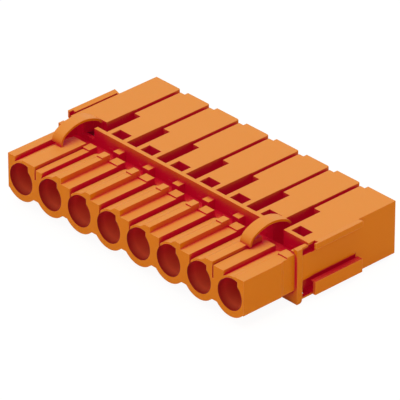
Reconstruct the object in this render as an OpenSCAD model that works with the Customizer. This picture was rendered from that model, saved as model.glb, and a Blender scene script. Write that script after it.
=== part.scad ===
/* [Poles] */
// Number of poles in the row
poles = 8; // [8:1:8]
// Distance from one pole to the next
pitch = 5.08; // [5:0.04:5.08]

/* [Housing] */
// Width of the mating section
block_w = 40.5; // [40.3:0.1:40.7]
// Depth from the wire entries to the mating face
depth = 24; // [23.8:0.1:24.4]
// Height of the mating section
block_h = 7; // [6.9:0.05:7.2]
// Width of the wire entry section
entry_w = 40.1; // [40:0.1:40.3]
// How far the collar reaches below the mating section
collar_drop = 0.45; // [0.3:0.05:0.6]
// How far the end rails stand out
rail_out = 0.8; // [0.7:0.05:0.9]

/* [Wire entries] */
// Radius of a wire entry
bore_r = 1.93; // [1.88:0.01:1.96]
// Height of the entry axis above the underside of the mating section
bore_z = 3.28; // [3.2:0.02:3.4]
// Outer radius of the scalloped underside
scallop_r = 2.83; // [2.75:0.01:2.9]
// Wall over the top of each entry
rim = 0.27; // [0.25:0.01:0.35]

/* [Pull arches] */
// Half the span of an arch
arch_reach = 3.38; // [3.3:0.02:3.42]
// Rise of an arch above its springing
arch_rise = 2; // [1.9:0.05:2.15]
// Thickness of an arch
arch_t = 0.3; // [0.28:0.02:0.4]
// Width of an arch
arch_w = 1.65; // [1.5:0.05:1.7]

/* [Contacts] */
// Sheet thickness of the crimp socket
sheet = 0.25; // [0.2:0.01:0.3]
// Sheet thickness of the over-spring
spring_sheet = 0.18; // [0.15:0.01:0.2]
// Outside width and height of the over-spring
box_w = 2.5; // [2.4:0.05:2.5]

/* [Hidden] */
$fn = 64;
eps = 0.05;
big = 60;
socket_names = [for (n = [1:poles]) str("contact_", n)];
spring_names = [for (n = [1:poles]) str("over_spring_", n)];

base_z = collar_drop;            // underside of the mating section
axis_z = base_z + bore_z;        // axis of the wire entries
top_z = base_z + block_h;        // top of the mating section
entry_x = entry_w / 2;
block_x = block_w / 2;

// Section of a wire entry, measured from its axis: a circle with a key lobe
lobe_x = 1.23;                   // straight right side of the lobe
lobe_cx = 0.5;
lobe_cz = 0.05;
lobe_r = 2.25;
entry_len = 6.2;                 // length of the full-width entry
throat = 1.45;                   // half width of the square throat behind it

// Ribs and bars on top of the entry section, measured from the entry axis
rib_x = [1.12, 2.2];
rib_z = 3.1;
rise_x = [0.15, 1.2];            // where the roof of an entry sweeps up into its rib
bar_x = 3.6;                     // right side of the flat bar, and left wall of the slot
bar_z = 2.34;
web_z = -1.88;                   // underside of the web between two entries
cap_z = 2.72;                    // top of the end walls, the two end caps and the raised bar
first_cap = [0.16, 2.4];         // cap of the first pole, with a slit before its bar
slit = 0.22;
last_cap_x = 0.75;
raised_bar = [2.39, 4.02];       // wide bar beside the right-hand arch
end_in = 1.2;                    // thickness of the left end wall
pad_rise = 0.16;
pad_len = 1.25;
rib_back = 7.8;
cap_back = 8.25;
bar_back = 8.8;
step_y = [5.9, 6.45];            // sloped step in the right side, in front of the collar
step_in = 0.17;

// Arches, and the openings for their back legs in the front wall of the mating section
arch_end_r = 1.48;               // radius at both ends of an arch
arch_c = [8.73, axis_z + rib_z - 0.1];
arch_x = [-0.5, rib_x[0]];       // left side of each arch from its pole's axis
arch_foot = [0.33, 0.03];        // how far the front legs reach below the springing
arch_leg = 0.75;
leg_way_z = axis_z + 2.2;
leg_way_x = -0.17;               // left side of the opening at the first pole

// Cross trench and the mating section behind it
collar_y = [8.2, 9];
trench_back = 10.07;
trench_z = axis_z + 1.0;
wall_t = 0.55;                   // front wall of the mating section
post_x = block_x - 0.6;          // collar post, with a thinner wall behind it
post_z = top_z - 0.25;
side_wall = [entry_x - 0.85, block_x - 0.6];
side_wall_z = top_z - 0.6;
peg_x = [1.05, 2.1];
peg_len = 1;
peg_h = 1.15;
peg_z = 2.84;
window_w = 2.05;
window_y = [trench_back + wall_t, 12.12];
slot_x = [1.69, 3.39];
slot_y = [trench_back + wall_t, 16];
slot_floor = base_z + 1;
slot_tail = 0.55;                // narrow stretch behind each slot
groove_x = [1.74, 2.34];
groove_depth = 0.8;

// End rails
rail_y = [10.4, 17.95];
rail_lip = 0.42;                 // thickness of the lower lip
rail_end = 0.25;                 // thickness of the upper lip beside its notch
rail_rise = [0.1, 0.28];         // rise of the upper lip at the right and at the left
rail_face = [0.62, 0.75];        // height of the upper lip's face, and of the slope under it
rail_z = [base_z + 0.3, base_z + 2.05];
channel_z = [base_z + 0.5, base_z + 1.95];
channel_x = block_x - 0.9;
pocket_y = [9, 11];
pocket_z = [top_z - 1.25, top_z - 0.25];
pocket_roof = [block_x - 0.1, 0.22];

// Contact chamber
chamber_w = box_w + 0.1;
chamber_y = [9.4, 21.7];
latch_run = 13.9;                // how far the way in for the contact's latch runs
latch_way = [0.62, 2.15];        // its half width and its height above the axis
chamber_z = [-box_w / 2, box_w / 2 + 0.1];
pin_hole = 1.5;
pin_lead = 2.1;

// Crimp socket, measured from the entry axis
floor_z = -box_w / 2 + spring_sheet;
blade_y = [15, 20.7];
blade_w = 1.5;
blade_root = box_w / 2 - spring_sheet - 0.02 - sheet;
blade_gap = 0.4;
blade_mouth = 0.72;

function pole_x(i) = (i - (poles - 1) / 2) * pitch;

// Box between two corners
module span(a, b) {
    translate(a) cube(b - a);
}

// Outline in the XZ plane carried from y0 to y1
module along_y(y0, y1) {
    translate([0, y1, 0])
        rotate([90, 0, 0])
            linear_extrude(y1 - y0)
                children();
}

// Outline in the YZ plane carried from x0 to x1; its first axis is Y, its second Z
module along_x(x0, x1) {
    translate([x0, 0, 0])
        rotate([90, 0, 90])
            linear_extrude(x1 - x0)
                children();
}

// Section of a wire entry with its key lobe, grown by g on every side
module entry_2d(g) {
    circle(bore_r + g);
    intersection() {
        translate([lobe_cx, lobe_cz]) circle(lobe_r + g);
        translate([-lobe_r, 0]) square([lobe_r + lobe_x + g, lobe_r * 2]);
    }
}

// One rib or bar on top of the entry section, with the pad at its back end
module ridge(x0, x1, z, back) {
    span([x0, 0, trench_z - eps], [x1, back, axis_z + z]);
    span([x0 - pad_rise, back - pad_len, trench_z - eps], [x1, back, axis_z + z + pad_rise]);
}

// Roof of an entry that sweeps up into its rib
module rib_sweep() {
    steps = 12;
    low = lobe_cz + lobe_r + rim - 0.03;
    along_y(0, rib_back)
        translate([0, axis_z])
            polygon(concat([[rise_x[0], 1]],
                           [for (k = [0:steps])
                               [rise_x[0] + (rise_x[1] - rise_x[0]) * k / steps,
                                low + (rib_z - low) * (1 - cos(180 * k / steps)) / 2]],
                           [[rise_x[1], 1]]));
}

// Everything that one pole adds on top of the entry section
module entry_top(i) {
    first = i == 0;
    last = i == poles - 1;
    end_pole = first || last;
    along_y(0, first ? collar_y[0] : rib_back)
        translate([0, axis_z])
            entry_2d(rim);
    if (first) {
        span([first_cap[0], 0, trench_z - eps], [first_cap[1], collar_y[0], axis_z + cap_z]);
        ridge(first_cap[1] + slit, bar_x, bar_z, bar_back);
    }
    if (last) ridge(last_cap_x, entry_x - pole_x(i), cap_z, cap_back);
    if (!end_pole) {
        rib_sweep();
        ridge(rib_x[0], rib_x[1], rib_z, rib_back);
    }
    if (i == poles - 2)
        span([raised_bar[0], 0, trench_z - eps], [raised_bar[1], collar_y[0], axis_z + cap_z]);
    if (!end_pole && i != poles - 2) ridge(rib_x[1] - eps, bar_x, bar_z, bar_back);
}

// Scalloped lower half of the entry section, up to the floor of the cross trench
module entry_base() {
    intersection() {
        along_y(0, trench_back + eps)
            translate([0, axis_z])
                for (i = [0:poles - 1])
                    translate([pole_x(i), 0]) {
                        circle(scallop_r);
                        translate([-pitch / 2 - eps, web_z]) square([pitch + 2 * eps, -web_z]);
                    }
        span([-entry_x, -1, 0], [entry_x, depth, axis_z]);
    }
    span([-entry_x, 0, axis_z - eps], [entry_x, trench_back + eps, trench_z]);
}

// Left end wall, and the two side walls of the cross trench
module end_walls() {
    span([-entry_x, 0, axis_z], [-entry_x + end_in, collar_y[1], axis_z + cap_z]);
    for (s = [0, 1])
        mirror([s, 0, 0]) {
            span([side_wall[0], collar_y[0], trench_z - eps],
                 [side_wall[1] + eps, trench_back + eps, side_wall_z]);
            span([side_wall[1], pocket_y[0] - eps, base_z], [block_x, trench_back + eps, post_z]);
        }
}

// Collar that runs under the housing and up both sides
module collar() {
    y = collar_y[0];
    w = collar_y[1] - y;
    foot_r = w / 2;
    reach = block_x + eps;
    along_x(-reach, reach)
        collar_edge(y, w, foot_r);
    for (s = [0, 1])
        mirror([s, 0, 0])
            span([post_x, y, base_z], [reach, y + w, post_z]);
}

// Profile of the collar's lower edge, rounded behind
module collar_edge(y, w, r) {
    translate([y, r]) square([w, axis_z - bore_r - r - 0.4]);
    translate([y, 0]) square([w - r, r + eps]);
    translate([y + w - r, r]) circle(r);
}

// Sloped step in the right side, in front of the collar
module side_step() {
    out_x = entry_x + 1;
    translate([0, 0, -1])
        linear_extrude(big)
            polygon([[entry_x, step_y[0]], [entry_x - step_in, step_y[1]],
                     [entry_x - step_in, collar_y[0]], [out_x, collar_y[0]], [out_x, step_y[0]]]);
}

// Outline of an arch on its springing line, shrunk by t: a flat arc between two small ones
module arch_2d(t) {
    c = arch_reach - arch_end_r;
    k = arch_rise - arch_end_r;
    drop = (c * c - k * k) / (2 * k);
    for (s = [-1, 1])
        translate([s * c, 0]) circle(arch_end_r - t);
    intersection() {
        translate([0, -drop]) circle(arch_rise + drop - t);
        polygon([[0, -drop], [2 * c, drop], [-2 * c, drop]]);
    }
}

// Open arch for pulling the plug out, from the ribs in front to the mating section behind
module pull_arch(i, x0, foot, foot_x0) {
    back = arch_reach - arch_t;
    translate([pole_x(i), arch_c[0], arch_c[1]]) {
        along_x(x0, x0 + arch_w) {
            intersection() {
                difference() {
                    arch_2d(0);
                    arch_2d(arch_t);
                }
                translate([-big / 2, 0]) square([big, big]);
            }
            translate([back, -arch_leg]) square([arch_t, arch_leg + eps]);
        }
        along_x(foot_x0, x0 + arch_w)
            translate([-arch_reach, -foot]) square([arch_t, foot + eps]);
    }
}

// Openings through the front wall of the mating section for the arches' back legs
module leg_ways() {
    last = poles - 2;
    span([pole_x(0) + leg_way_x, trench_back - eps, leg_way_z],
         [pole_x(0) + slot_x[0] + eps, window_y[1], top_z + 1]);
    span([pole_x(last) + slot_x[0], trench_back - eps, trench_z],
         [pole_x(last) + slot_x[1], slot_y[0] + eps, top_z + 1]);
}

// Pair of lips at one end of the mating section, drawn for the right-hand end
module end_rail(rise) {
    out_x = block_x + rail_out;
    in_x = block_x - eps;
    under = top_z - rail_face[0];
    along_y(rail_y[0], rail_y[1])
        polygon([[in_x, top_z - 0.01], [out_x, top_z + rise], [out_x, under], [in_x, under - rail_face[1]]]);
    span([in_x, rail_y[0], rail_z[0]], [out_x, rail_y[1], rail_z[1]]);
}

// Channel behind the lower lip: the body is rounded down into it, and its front end is open
module rail_channel() {
    r = block_x - channel_x;
    lip_x = block_x + rail_out - rail_lip;
    span([channel_x, rail_y[0] - 0.5, channel_z[0]], [lip_x, rail_y[1] - 0.35, channel_z[1]]);
    span([channel_x, pocket_y[0] + 0.1, base_z + 0.22], [block_x + 2, rail_y[0], channel_z[1]]);
    difference() {
        span([channel_x, pocket_y[0] + 0.1, channel_z[1] - eps],
             [block_x + eps, rail_y[1] - 0.35, channel_z[1] + r]);
        along_y(0, depth)
            translate([channel_x, channel_z[1] + r])
                circle(r);
    }
}

// Pocket behind the front end of the upper lip, open to the side and beside the lip
module rail_pocket() {
    far = block_x + 2;
    lip_x = block_x + rail_out - rail_end;
    roof_z = post_z - pocket_roof[1];
    span([side_wall[1], pocket_y[0], pocket_z[0]], [far, trench_back, roof_z]);
    span([pocket_roof[0], pocket_y[0], pocket_z[0]], [far, trench_back, top_z + 1]);
    span([side_wall[1], trench_back - eps, pocket_z[0]], [lip_x, pocket_y[1], pocket_z[1]]);
    span([side_wall[1], trench_back - eps, pocket_z[0]], [far, rail_y[0], pocket_z[1]]);
    span([block_x - 0.05, trench_back - eps, pocket_z[0]], [lip_x, pocket_y[1], top_z + 1]);
}

// Narrow groove between the body and the left-hand rail
module rail_groove() {
    span([-block_x - 0.2, pocket_y[1] - eps, top_z - 0.5], [-block_x + 0.02, 17.7, top_z + 1]);
}

// Key-shaped entry, square throat, contact chamber, pin hole and latch window of one pole
module chamber(window_x0) {
    along_y(-eps, entry_len)
        translate([0, axis_z])
            entry_2d(0);
    span([-throat, entry_len - eps, axis_z - throat], [throat, chamber_y[0], axis_z + throat]);
    span([-latch_way[0], entry_len - eps, axis_z], [latch_way[0], latch_run, axis_z + latch_way[1]]);
    span([-chamber_w / 2, chamber_y[0] - eps, axis_z + chamber_z[0]],
         [chamber_w / 2, chamber_y[1], axis_z + chamber_z[1]]);
    span([window_x0, window_y[0], axis_z], [window_w / 2, window_y[1], top_z + 1]);
    pin_entry();
}

// Square pin hole with a sloped lead-in at the mating face
module pin_entry() {
    h = pin_hole / 2;
    m = pin_lead / 2;
    y0 = depth - (m - h);
    span([-h, chamber_y[1] - eps, axis_z - h], [h, depth + 1, axis_z + h]);
    intersection() {
        along_x(-m - eps, m + eps)
            polygon([[y0, axis_z - h], [depth + eps, axis_z - m - eps],
                     [depth + eps, axis_z + m + eps], [y0, axis_z + h]]);
        translate([0, 0, axis_z - m - eps])
            linear_extrude(2 * m + 2 * eps)
                polygon([[-h, y0], [-m - eps, depth + eps], [m + eps, depth + eps], [h, y0]]);
    }
}

// Wide slot, narrow groove and stepped back edge between two poles
module between_poles() {
    back = 0.42;
    span([slot_x[0], slot_y[0], slot_floor], [slot_x[1], slot_y[1], top_z + 1]);
    translate([0, 0, slot_floor])
        linear_extrude(big)
            polygon([[slot_x[0], slot_y[1] - eps], [groove_x[1], slot_y[1] - eps],
                     [groove_x[1], slot_y[1] + slot_tail], [groove_x[0], slot_y[1] + slot_tail],
                     [slot_x[0], slot_y[1] + slot_tail - 0.2]]);
    span([groove_x[0], slot_y[1] - eps, top_z - groove_depth], [groove_x[1], depth + 1, top_z + 1]);
    translate([0, 0, top_z - groove_depth])
        linear_extrude(groove_depth + 1)
            polygon([[groove_x[0] - 0.25, depth + eps], [groove_x[1] - 0.05, depth - back],
                     [groove_x[1], depth - 0.55], [groove_x[1] + 0.72, depth - 0.55],
                     [groove_x[1] + 0.72, depth + eps]]);
}

// Everything moulded in one with the mating section, before the cavities are cut
module housing_body() {
    entry_base();
    for (i = [0:poles - 1])
        translate([pole_x(i), 0, 0]) {
            entry_top(i);
            if (i > 0 && i < poles - 2)
                span([peg_x[0], trench_back - peg_len, axis_z + peg_z - peg_h],
                     [peg_x[1], trench_back + eps, axis_z + peg_z]);
        }
    end_walls();
    collar();
    span([-block_x, trench_back, base_z], [block_x, depth, top_z]);
    for (s = [0, 1])
        mirror([s, 0, 0]) end_rail(rail_rise[s]);
}

module housing() {
    color("darkorange")
        translate([0, -depth / 2, 0]) {
            difference() {
                housing_body();
                for (i = [0:poles - 1])
                    translate([pole_x(i), 0, 0]) chamber(i == 0 ? leg_way_x : -window_w / 2);
                for (i = [0:poles - 2])
                    translate([pole_x(i), 0, 0]) between_poles();
                side_step();
                for (s = [0, 1])
                    mirror([s, 0, 0]) {
                        rail_channel();
                        rail_pocket();
                    }
                rail_groove();
                leg_ways();
            }
            pull_arch(0, arch_x[0], arch_foot[0], first_cap[0]);
            pull_arch(poles - 2, arch_x[1], arch_foot[1], arch_x[1]);
        }
}

// Open barrel that is crimped round a wire: round below, straight wings above
module barrel(y0, y1, r, wing_z) {
    cz = floor_z + r;
    along_y(y0, y1)
        translate([0, axis_z + cz])
            difference() {
                union() {
                    circle(r);
                    translate([-r, 0]) square([2 * r, wing_z - cz]);
                }
                circle(r - sheet);
                translate([-r + sheet, 0]) square([2 * (r - sheet), 2 * r]);
            }
}

// Height of a blade's inner face along its length: from its root in to the pin and out at the mouth
function blade_z(t) =
    t < 0.7 ? blade_gap + (blade_root - blade_gap) * (1 + cos(180 * t / 0.7)) / 2
            : blade_gap + (blade_mouth - blade_gap) * (1 - cos(180 * (t - 0.7) / 0.6)) / 2;

// One of the two spring blades that grip the pin
module blade() {
    steps = 14;
    path = [for (k = [0:steps]) [blade_y[0] + (blade_y[1] - blade_y[0]) * k / steps,
                                 blade_z(k / steps)]];
    along_x(-blade_w / 2, blade_w / 2)
        polygon(concat(path, [for (k = [steps:-1:0]) path[k] + [0, sheet]]));
}

// Stamped socket: insulation barrel, wire barrel, neck, box and two blades
module contact(i) {
    side = box_w / 2 - spring_sheet - 0.02;
    roof = floor_z + 2 * side;
    color("goldenrod")
        translate([pole_x(i), -depth / 2, 0]) {
            barrel(6.6, 8, 1.4, 1.1);
            barrel(8.7, 11.2, 1.12, 1.25);
            translate([0, 0, axis_z + floor_z]) {
                span([-0.5, 7.9, 0], [0.5, 8.8, sheet]);
                span([-0.8, 11.1, 0], [0.8, 13.1, sheet]);
                for (s = [0, 1])
                    mirror([s, 0, 0]) span([0.8 - sheet, 11.1, 0], [0.8, 13.1, 0.75]);
            }
            difference() {
                span([-side, 13, axis_z + floor_z], [side, blade_y[0] + eps, axis_z + roof]);
                span([-side + sheet, 12, axis_z + floor_z + sheet],
                     [side - sheet, 16, axis_z + roof - sheet]);
            }
            translate([0, 0, axis_z + (floor_z + roof) / 2]) {
                blade();
                mirror([0, 0, 1]) blade();
            }
        }
}

// Steel sleeve round the blades, with the latch that springs up into the window
module over_spring(i) {
    h = box_w / 2;
    t = spring_sheet;
    root_y = 13.7;
    tip = [10.85, 1.95];
    color("lightsteelblue")
        translate([pole_x(i), -depth / 2, axis_z]) {
            difference() {
                span([-h, 12.9, -h], [h, 20.9, h]);
                span([-h + t, 12, -h + t], [h - t, 22, h - t]);
                span([-0.65, 12, 0], [0.65, root_y, h + 1]);
            }
            along_x(-0.5, 0.5)
                polygon([[root_y + eps, h - t], tip - [0, t], tip, [root_y, h], [root_y + eps, h]]);
        }
}

housing();
for (n = [1:poles]) {
    contact(n - 1);
    over_spring(n - 1);
}
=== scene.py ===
import bmesh
import bpy
import numpy as np
from mathutils import Matrix, Vector


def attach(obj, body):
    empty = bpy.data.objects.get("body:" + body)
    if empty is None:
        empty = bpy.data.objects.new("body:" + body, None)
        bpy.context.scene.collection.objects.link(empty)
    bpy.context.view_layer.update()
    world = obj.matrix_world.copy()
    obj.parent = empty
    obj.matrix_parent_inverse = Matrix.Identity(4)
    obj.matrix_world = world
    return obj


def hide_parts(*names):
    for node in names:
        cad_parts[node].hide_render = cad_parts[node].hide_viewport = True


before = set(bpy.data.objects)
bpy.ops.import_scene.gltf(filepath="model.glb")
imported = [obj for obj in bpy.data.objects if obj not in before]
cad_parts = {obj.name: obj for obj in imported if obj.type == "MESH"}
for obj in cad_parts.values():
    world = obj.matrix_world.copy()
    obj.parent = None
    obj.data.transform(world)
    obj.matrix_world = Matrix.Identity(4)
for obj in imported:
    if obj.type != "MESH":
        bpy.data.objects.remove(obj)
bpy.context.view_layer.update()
scene = bpy.context.scene
print("frame loaded:", len(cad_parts), "nodes")

mm = 0.001
poleRow = {"count": 8, "pitch": 5.08, "axis": 3.73}  # mm between poles, and the height of their axes


def srgb(hexText):
    # sRGB hex to linear red, green, blue and alpha
    v = np.array([int(hexText[k:k + 2], 16) for k in (1, 3, 5)]) / 255
    linear = np.where(v <= 0.04045, v / 12.92, ((v + 0.055) / 1.055) ** 2.4)
    return (*linear.tolist(), 1.0)


def addNode(owner, kind, settings=None, inputs=None, links=None):
    # one node of a material or a world: its own settings, the values of its sockets, and where
    # its sockets are fed from
    node = owner.node_tree.nodes.new(kind)
    for name, value in (settings or {}).items():
        setattr(node, name, value)
    for name, value in (inputs or {}).items():
        node.inputs[name].default_value = value
    for name, (source, output) in (links or {}).items():
        owner.node_tree.links.new(source.outputs[output], node.inputs[name])
    return node


colourMix = {"share": 0, "low": 6, "high": 7, "result": 2}  # sockets of a Mix node that works on colours


def addMix(material, share, low, high):
    # a blend from low to high, as the node and output to link from; each is a colour or such a pair
    node = addNode(material, "ShaderNodeMix", settings={"data_type": "RGBA"},
                   links={colourMix["share"]: share})
    for socket, colour in ((colourMix["low"], low), (colourMix["high"], high)):
        if isinstance(colour[0], float):
            node.inputs[socket].default_value = colour
        else:
            material.node_tree.links.new(colour[0].outputs[colour[1]], node.inputs[socket])
    return node, colourMix["result"]


def newMaterial(name):
    material = bpy.data.materials.new(name)
    material.use_nodes = True
    material.node_tree.nodes.clear()
    return material


def dress(pieces, material):
    for piece in pieces:
        piece.data.materials.clear()
        piece.data.materials.append(material)


# Housing moulding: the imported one, with the floor of the cross trench closed over the contacts
# and slivers taken off the ribs and flat bars. All in mm, and X from the axis of a pole.
mouldingShape = {
    "weld": 0.0005,                  # corners closer than this become one
    "floorEdge": 1.6,                # how far the floor runs past the end poles
    "floorAlong": (-4.3, -1.88),     # Y, from under the ribs into the cross wall
    "floorHeights": (4.7, 5.33),     # its underside and top
    "room": (1.46, 5.06),            # half width and top of the hollow in it over each contact
    "footHalf": 0.7,                 # half width of the foot of the cross wall at each pole
    "footAlong": (-1.98, -1.55),
    "footHeights": (5.2, 5.95),
    "trimmedPoles": (1, 2, 3, 4, 5),  # counted from 0 at the left
    "slivers": (                     # X, Y and Z of what comes off
        ((1.92, 2.3), (-12.1, -4.45), (6.07, 7.1)),   # right side of a rib
        ((1.92, 2.3), (-4.46, -4.1), (6.23, 7.1)),    # and of the pad at its back end
        ((3.44, 3.7), (-12.1, -3.1), (4.75, 6.4)),    # right side of a flat bar
    ),
}


def alongY(ring, y0, y1):
    # a closed profile in X and Z, carried straight from y0 to y1: two rings, side faces, two ends
    ring = np.asarray(ring)
    count = len(ring)
    points = np.concatenate([np.insert(ring, 1, y, axis=1) for y in (y0, y1)]) * mm
    k = np.arange(count)
    after = (k + 1) % count
    sides = np.stack([k, after, after + count, k + count], axis=1).tolist()
    return points.tolist(), sides + [k[::-1].tolist(), (k + count).tolist()]


def solidFrom(name, points, faces):
    mesh = bpy.data.meshes.new(name)
    mesh.from_pydata(points, [], faces)
    solid = bpy.data.objects.new(name, mesh)
    scene.collection.objects.link(solid)
    shape = bmesh.new()
    shape.from_mesh(mesh)
    bmesh.ops.recalc_face_normals(shape, faces=shape.faces)
    shape.to_mesh(mesh)
    shape.free()
    return solid


def straightBar(name, x, y, z):
    # a rectangle in X and Z, carried along Y
    ring = [(x[0], z[0]), (x[1], z[0]), (x[1], z[1]), (x[0], z[1])]
    return solidFrom(name, *alongY(ring, *y))


def combine(target, others, operation):
    # exact union or difference, applied to the target's mesh
    for other in others:
        target.modifiers.new("combine", "BOOLEAN").object = other
    for modifier in target.modifiers:
        modifier.operation, modifier.solver = operation, "EXACT"
    graph = bpy.context.evaluated_depsgraph_get()
    mesh = bpy.data.meshes.new_from_object(target.evaluated_get(graph))
    target.modifiers.clear()
    target.data = mesh
    for other in others:
        bpy.data.objects.remove(other)


def mergedCopy(name, node, weld):
    # a CAD node's loose triangles, joined into a closed skin
    mesh = bpy.data.meshes.new(name)
    shape = bmesh.new()
    shape.from_mesh(node.data)
    bmesh.ops.remove_doubles(shape, verts=shape.verts, dist=weld * mm)
    shape.to_mesh(mesh)
    shape.free()
    copy = bpy.data.objects.new(name, mesh)
    scene.collection.objects.link(copy)
    return copy


def trenchFloor(p, poles):
    # a strip across all poles, with a room cut up into its underside at each
    (low, high), (half, top) = p["floorHeights"], p["room"]
    room = ((-half, low), (-half, top), (half, top), (half, low))
    rooms = [(x + dx, z) for x in poles for dx, z in room]
    end = poles[-1] + p["floorEdge"]
    ring = [(-end, low)] + rooms + [(end, low), (end, high), (-end, high)]
    return solidFrom("trenchFloor", *alongY(ring, *p["floorAlong"]))


def housingMoulding(p):
    moulding = mergedCopy("housingMoulding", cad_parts["housing"], p["weld"])
    poles = (np.arange(poleRow["count"]) - (poleRow["count"] - 1) / 2) * poleRow["pitch"]
    half = p["footHalf"]
    feet = [straightBar("foot", (x - half, x + half), p["footAlong"], p["footHeights"]) for x in poles]
    combine(moulding, [trenchFloor(p, poles)] + feet, "UNION")
    slivers = [straightBar("sliver", (poles[k] + x0, poles[k] + x1), along, heights)
               for k in p["trimmedPoles"] for (x0, x1), along, heights in p["slivers"]]
    combine(moulding, slivers, "DIFFERENCE")
    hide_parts("housing")
    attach(moulding, "root")
    return moulding


moulding = housingMoulding(mouldingShape)
print("housing moulding made:", len(moulding.data.polygons), "faces")


# Its finish is pigmented polyamide, injection moulded in a tool with a fine spark-eroded grain, with
# satin orange faces.
# Painted into its colour: painted shade in recesses and entries, deep red; a painted glow in closed
# recesses; painted light on upward faces; painted highlights on thin corners.
housingFinish = {
    "body": "#e07c0c",             # pigment on an open face
    "drift": "#da7609",            # slightly richer tone in the slow colour drift
    "upwardPaintedLight": "#e08e43",           # painted light on a face that looks up, paler and yellower, as where the satin skin catches the light
    "paintedShade": "#c40a2e",             # painted shade in recesses, standing for light that only arrives through or off more of the pigment
    "edge": "#ff9c5a",             # painted highlight on thin corners, as if they let light through
    "driftSize": 9.0,              # mm across one patch of drift
    "driftDetail": 3.0,
    "reach": 5.0,                  # mm that a wall shades its neighbours from, in the painted shade
    "skySamples": 12,              # rays that look for such walls
    "closed": 0.60,                # share of open sky at which the colour is fully the painted shade
    "open": 0.69,                  # and at which it is the plain pigment
    "facing": (0.145, 0.0, 0.03),  # added to that share for a face towards +X, and towards +Z: the painted shade spares faces turned to the light
    "paintedGlow": 0.07,                  # painted glow in a recess, as if light came through the walls
    "innerOpen": 0.25,             # open share below which more of it comes
    "innerPaintedGlow": 0.12,             # and how much more in a closed chamber
    "entryRadius": 1.98,           # mm, a little over the bore's own
    "entryEnd": -5.7,              # mm along Y
    "entryMouthPaintedShade": "#841112",       # painted shade inside an entry, just past its mouth
    "entryRamp": (-12.0, -10.9),   # mm along Y over which that turns into the recess painted shade
    "wallLoss": 0.17,              # how much of the painted shade is taken off on an entry's wall, as pigment colour coming back
    "floorLoss": 0.2,              # and how much more on the floor of its bore, or less on the roof: painted light on faces that look up
    "grainSize": 0.12,             # mm between grains, a little coarser than real so that it shows
    "grainDetail": 2.0,
    "grainHeight": 0.004,          # mm
    "grainStrength": 0.35,
    "edgeRadius": 0.09,            # mm, the tool's edge rounding
    "edgeSamples": 6,
    "edgeBend": 0.8,               # cosine of the turn that counts as a whole corner
    "edgeShare": 0.7,              # how far a corner goes towards the painted highlight colour
    "roughness": 0.42,
    "ior": 1.53,
    "sheen": 0.1,                  # surface reflection, where 0.5 is a clear plastic's
    "sheenColour": "#ffd2a0",
    "scatter": 0.1,                # share of the light that goes in and comes out again
    "scatterDepth": 0.4,           # mm
    "scatterReach": (1.0, 0.25, 0.05),  # of red, green and blue, as shares of that depth
}


def entryMask(material, p, place):
    # 1 inside a wire entry, which gets its own painted shade: distance from the nearest entry axis, X
    # being wrapped at the pitch
    wrapped = addNode(material, "ShaderNodeVectorMath", settings={"operation": "WRAP"},
                      inputs={1: (poleRow["pitch"] * mm, 1, 1), 2: (0, -1, -1)},
                      links={0: (place, "Object")})
    flat = addNode(material, "ShaderNodeVectorMath", settings={"operation": "MULTIPLY"},
                   inputs={1: (1, 0, 1)}, links={0: (wrapped, "Vector")})
    radius = addNode(material, "ShaderNodeVectorMath", settings={"operation": "DISTANCE"},
                     inputs={1: (poleRow["pitch"] / 2 * mm, 0, poleRow["axis"] * mm)},
                     links={0: (flat, "Vector")})
    near = addNode(material, "ShaderNodeMath", settings={"operation": "LESS_THAN"},
                   inputs={1: p["entryRadius"] * mm}, links={0: (radius, "Value")})
    along = addNode(material, "ShaderNodeSeparateXYZ", links={"Vector": (place, "Object")})
    front = addNode(material, "ShaderNodeMath", settings={"operation": "LESS_THAN"},
                    inputs={1: p["entryEnd"] * mm}, links={0: (along, "Y")})
    return addNode(material, "ShaderNodeMath", settings={"operation": "MULTIPLY"},
                   links={0: (near, "Value"), 1: (front, "Value")})


def openColourPaintedLight(material, p, place, rounded, face):
    # pigment with a slow drift, with painted light making a face that looks up lighter, and a painted
    # highlight where the rounded normal leaves the flat one
    drift = addNode(material, "ShaderNodeTexNoise",
                    inputs={"Scale": 1 / (p["driftSize"] * mm), "Detail": p["driftDetail"]},
                    links={"Vector": (place, "Object")})
    plain = addMix(material, (drift, "Fac"), srgb(p["body"]), srgb(p["drift"]))
    # painted light: lighter on a face that looks up
    level = addNode(material, "ShaderNodeSeparateXYZ", links={"Vector": (rounded, "Normal")})
    tone = addMix(material, (level, "Z"), plain, srgb(p["upwardPaintedLight"]))
    # painted highlight on corners, where the rounded normal turns from the flat one
    bend = addNode(material, "ShaderNodeVectorMath", settings={"operation": "DOT_PRODUCT"},
                   links={0: (rounded, "Normal"), 1: (face, "True Normal")})
    corner = addNode(material, "ShaderNodeMapRange",
                     inputs={"From Min": 1.0, "From Max": p["edgeBend"],
                             "To Min": 0.0, "To Max": p["edgeShare"]},
                     links={"Value": (bend, "Value")})
    return addMix(material, (corner, "Result"), tone, srgb(p["edge"]))


def recessPaintedShade(material, p, sky, face):
    # painted shade, 0 on an open face to 1 in a recess: the share of open sky, with an offset by where
    # it faces
    lean = addNode(material, "ShaderNodeVectorMath", settings={"operation": "DOT_PRODUCT"},
                   inputs={1: p["facing"]}, links={0: (face, "True Normal")})
    openness = addNode(material, "ShaderNodeMath", links={0: (sky, "AO"), 1: (lean, "Value")})
    return addNode(material, "ShaderNodeMapRange",
                   inputs={"From Min": p["open"], "From Max": p["closed"], "To Min": 0.0, "To Max": 1.0},
                   links={"Value": (openness, "Value")})


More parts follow.
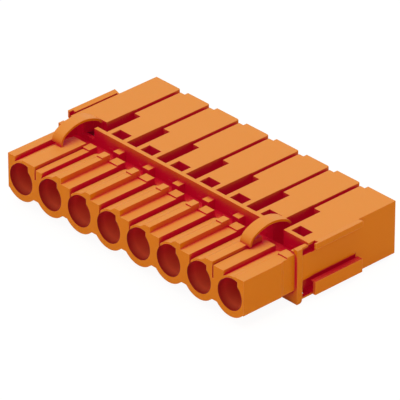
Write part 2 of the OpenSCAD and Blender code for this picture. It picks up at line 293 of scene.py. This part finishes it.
def entryPaintedShade(material, p, face):
    # the same painted shade inside an entry: 1 less what comes back, which grows as a wall turns to face
    # up
    upwardPaintedLight = addNode(material, "ShaderNodeVectorMath", settings={"operation": "DOT_PRODUCT"},
                     inputs={1: (0, 0, p["floorLoss"])}, links={0: (face, "True Normal")})
    loss = addNode(material, "ShaderNodeMath", inputs={1: p["wallLoss"]}, links={0: (upwardPaintedLight, "Value")})
    return addNode(material, "ShaderNodeMath", settings={"operation": "SUBTRACT", "use_clamp": True},
                   inputs={0: 1.0}, links={1: (loss, "Value")})


def entryPaintedShadeColour(material, p, place, inner):
    # painted shade inside an entry: brown just past the mouth, and the recess painted shade further in
    along = addNode(material, "ShaderNodeSeparateXYZ", links={"Vector": (place, "Object")})
    start, end = p["entryRamp"]
    past = addNode(material, "ShaderNodeMapRange",
                   inputs={"From Min": start * mm, "From Max": end * mm}, links={"Value": (along, "Y")})
    return addMix(material, (past, "Result"), srgb(p["entryMouthPaintedShade"]), inner)


def mouldedPolyamide(p):
    material = newMaterial("polyamideMoulded")
    place = addNode(material, "ShaderNodeTexCoord")
    face = addNode(material, "ShaderNodeNewGeometry")
    rounded = addNode(material, "ShaderNodeBevel", settings={"samples": p["edgeSamples"]},
                      inputs={"Radius": p["edgeRadius"] * mm})
    sky = addNode(material, "ShaderNodeAmbientOcclusion",
                  settings={"samples": p["skySamples"], "only_local": True},
                  inputs={"Distance": p["reach"] * mm})
    inEntry = entryMask(material, p, place)
    # painted shade: deep red in recesses and inside the entries
    paintedShadeShare = addMix(material, (inEntry, "Value"), (recessPaintedShade(material, p, sky, face), "Result"),
                   (entryPaintedShade(material, p, face), "Value"))
    paintedShadeColour = addMix(material, paintedShadeShare, openColourPaintedLight(material, p, place, rounded, face), srgb(p["paintedShade"]))
    colour = addMix(material, (inEntry, "Value"), paintedShadeColour, entryPaintedShadeColour(material, p, place, paintedShadeColour))
    # painted glow: emission in the painted shade colour, stronger in closed chambers
    inner = addNode(material, "ShaderNodeMapRange",
                    inputs={"From Min": p["innerOpen"], "From Max": 0.0,
                            "To Min": p["paintedGlow"], "To Max": p["paintedGlow"] + p["innerPaintedGlow"]},
                    links={"Value": (sky, "AO")})
    paintedGlow = addNode(material, "ShaderNodeMath", settings={"operation": "MULTIPLY"},
                   links={0: paintedShadeShare, 1: (inner, "Result")})
    grain = addNode(material, "ShaderNodeTexNoise",
                    inputs={"Scale": 1 / (p["grainSize"] * mm), "Detail": p["grainDetail"]},
                    links={"Vector": (place, "Object")})
    bump = addNode(material, "ShaderNodeBump",
                   inputs={"Strength": p["grainStrength"], "Distance": p["grainHeight"] * mm},
                   links={"Height": (grain, "Fac"), "Normal": (rounded, "Normal")})
    skin = addNode(material, "ShaderNodeBsdfPrincipled",
                   inputs={"Roughness": p["roughness"], "IOR": p["ior"],
                           "Specular IOR Level": p["sheen"], "Specular Tint": srgb(p["sheenColour"]),
                           "Emission Color": srgb(p["paintedShade"]), "Subsurface Weight": p["scatter"],
                           "Subsurface Radius": p["scatterReach"],
                           "Subsurface Scale": p["scatterDepth"] * mm},
                   links={"Base Color": colour, "Normal": (bump, "Normal"),
                          "Emission Strength": (paintedGlow, "Value")})
    addNode(material, "ShaderNodeOutputMaterial", links={"Surface": (skin, "BSDF")})
    return material


dress([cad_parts["housing"], moulding], mouldedPolyamide(housingFinish))
print("housing dressed")


# Crimp contacts are tinned bronze, stamped: warm pale grey, with soft patches in the tin
contactFinish = {
    "metal": "#cfc8ba", "patch": "#b9b1a2",
    "patchSize": 1.2, "stretch": 3,   # mm across a patch, and how many times longer it is along Y
    "detail": 4.0, "relief": 0.004, "reliefStrength": 0.2,   # relief in mm
    "roughness": 0.32,
}
# their sleeves are spring steel, rolled: cooler, with fine lines along the strip
sleeveFinish = {
    "metal": "#b8babd", "patch": "#a3a5a8",
    "patchSize": 0.25, "stretch": 8,
    "detail": 4.0, "relief": 0.004, "reliefStrength": 0.2,
    "roughness": 0.28,
}


def stripMetal(name, p):
    material = newMaterial(name)
    place = addNode(material, "ShaderNodeTexCoord")
    turned = addNode(material, "ShaderNodeMapping", inputs={"Scale": (1, 1 / p["stretch"], 1)},
                     links={"Vector": (place, "Object")})
    grain = addNode(material, "ShaderNodeTexNoise",
                    inputs={"Scale": 1 / (p["patchSize"] * mm), "Detail": p["detail"]},
                    links={"Vector": (turned, "Vector")})
    tone = addNode(material, "ShaderNodeValToRGB", links={"Fac": (grain, "Fac")})
    tone.color_ramp.elements[0].color = srgb(p["patch"])
    tone.color_ramp.elements[1].color = srgb(p["metal"])
    bump = addNode(material, "ShaderNodeBump",
                   inputs={"Strength": p["reliefStrength"], "Distance": p["relief"] * mm},
                   links={"Height": (grain, "Fac")})
    skin = addNode(material, "ShaderNodeBsdfPrincipled",
                   inputs={"Metallic": 1.0, "Roughness": p["roughness"]},
                   links={"Base Color": (tone, "Color"), "Normal": (bump, "Normal")})
    addNode(material, "ShaderNodeOutputMaterial", links={"Surface": (skin, "BSDF")})
    return material


for kind, metal in (("contact", stripMetal("tinnedBronzeStamped", contactFinish)),
                    ("over_spring", stripMetal("springSteelRolled", sleeveFinish))):
    dress([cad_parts[f"{kind}_{n + 1}"] for n in range(poleRow["count"])], metal)
print("contacts and sleeves dressed")


# Floor, world and lights, in metres and watts
stageSet = {
    "floorSize": 1.2,
    "floorColour": "#f4f4f4", "floorRoughness": 0.9,
    "whiteShare": 0.9,         # how far the floor is seen as plain white; the rest keeps the shadow
    "whiteStrength": 1.04,
    "worldStrength": 0.55,
    "lamps": {
        "keyLight": {"place": (0.02, 0.07, 0.38), "size": 0.2, "power": 0.46, "colour": "#fff3c4"},
        "fillLight": {"place": (0.0, -0.20, 0.35), "size": 0.3, "power": 0.45, "colour": "#fffdf6"},
    },
}


def seenDirectly(owner):
    # 1 for what the camera, a reflection or a clear piece sees, 0 for the light that surfaces pass on
    path = addNode(owner, "ShaderNodeLightPath")
    first = addNode(owner, "ShaderNodeMath", settings={"operation": "MAXIMUM"},
                    links={0: (path, "Is Camera Ray"), 1: (path, "Is Glossy Ray")})
    return addNode(owner, "ShaderNodeMath", settings={"operation": "MAXIMUM"},
                   links={0: (first, "Value"), 1: (path, "Is Transmission Ray")})


def makeFloor(p):
    half = p["floorSize"] / 2
    corners = [(-half, -half, 0), (half, -half, 0), (half, half, 0), (-half, half, 0)]
    mesh = bpy.data.meshes.new("floor")
    mesh.from_pydata(corners, [], [(0, 1, 2, 3)])
    floor = bpy.data.objects.new("floor", mesh)
    scene.collection.objects.link(floor)
    material = newMaterial("paperSweep")
    seen = seenDirectly(material)
    share = addNode(material, "ShaderNodeMath", settings={"operation": "MULTIPLY"},
                    inputs={1: p["whiteShare"]}, links={0: (seen, "Value")})
    paper = addNode(material, "ShaderNodeBsdfPrincipled",
                    inputs={"Base Color": srgb(p["floorColour"]), "Roughness": p["floorRoughness"]})
    white = addNode(material, "ShaderNodeEmission", inputs={"Strength": p["whiteStrength"]})
    both = addNode(material, "ShaderNodeMixShader",
                   links={0: (share, "Value"), 1: (paper, "BSDF"), 2: (white, "Emission")})
    addNode(material, "ShaderNodeOutputMaterial", links={"Surface": (both, "Shader")})
    mesh.materials.append(material)


def makeWorld(p):
    world = bpy.data.worlds.new("studio")
    world.use_nodes = True
    world.node_tree.nodes.clear()
    seen = seenDirectly(world)
    strength = addNode(world, "ShaderNodeMapRange",
                       inputs={"To Min": p["worldStrength"], "To Max": 1.0},
                       links={"Value": (seen, "Value")})
    sky = addNode(world, "ShaderNodeBackground", inputs={"Color": (1, 1, 1, 1)},
                  links={"Strength": (strength, "Result")})
    addNode(world, "ShaderNodeOutputWorld", links={"Surface": (sky, "Background")})
    scene.world = world


def makeLight(name, p):
    # a square lamp that looks at the middle of the part's foot
    data = bpy.data.lights.new(name, "AREA")
    data.size = p["size"]
    data.energy = p["power"]
    data.color = srgb(p["colour"])[:3]
    lamp = bpy.data.objects.new(name, data)
    scene.collection.objects.link(lamp)
    lamp.location = p["place"]
    lamp.rotation_euler = (-Vector(p["place"])).to_track_quat("-Z", "Y").to_euler()


makeFloor(stageSet)
makeWorld(stageSet)
for lampName, lampSet in stageSet["lamps"].items():
    makeLight(lampName, lampSet)
scene.view_settings.view_transform = "Standard"
print("floor, world and lights made")


# Camera, solved from the eight entries
cameraSet = {
    "place": (372.6575, -350.4127, 303.5299),      # mm
    "forward": (-0.628423, 0.59110978, -0.50564193),
    "up": (-0.36830998, 0.34644122, 0.86274344),
    "lens": 457.46, "sensor": 36,                  # mm
    "clip": (0.01, 10),                            # metres
}


def makeCamera(p):
    data = bpy.data.cameras.new("camera")
    data.sensor_width = p["sensor"]
    data.lens = p["lens"]
    data.clip_start, data.clip_end = p["clip"]
    camera = bpy.data.objects.new("camera", data)
    scene.collection.objects.link(camera)
    forward, up = Vector(p["forward"]), Vector(p["up"])
    turn = Matrix((forward.cross(up), up, -forward)).transposed()
    camera.matrix_world = Matrix.Translation(Vector(p["place"]) * mm) @ turn.to_4x4()
    scene.camera = camera


makeCamera(cameraSet)
print("camera set")
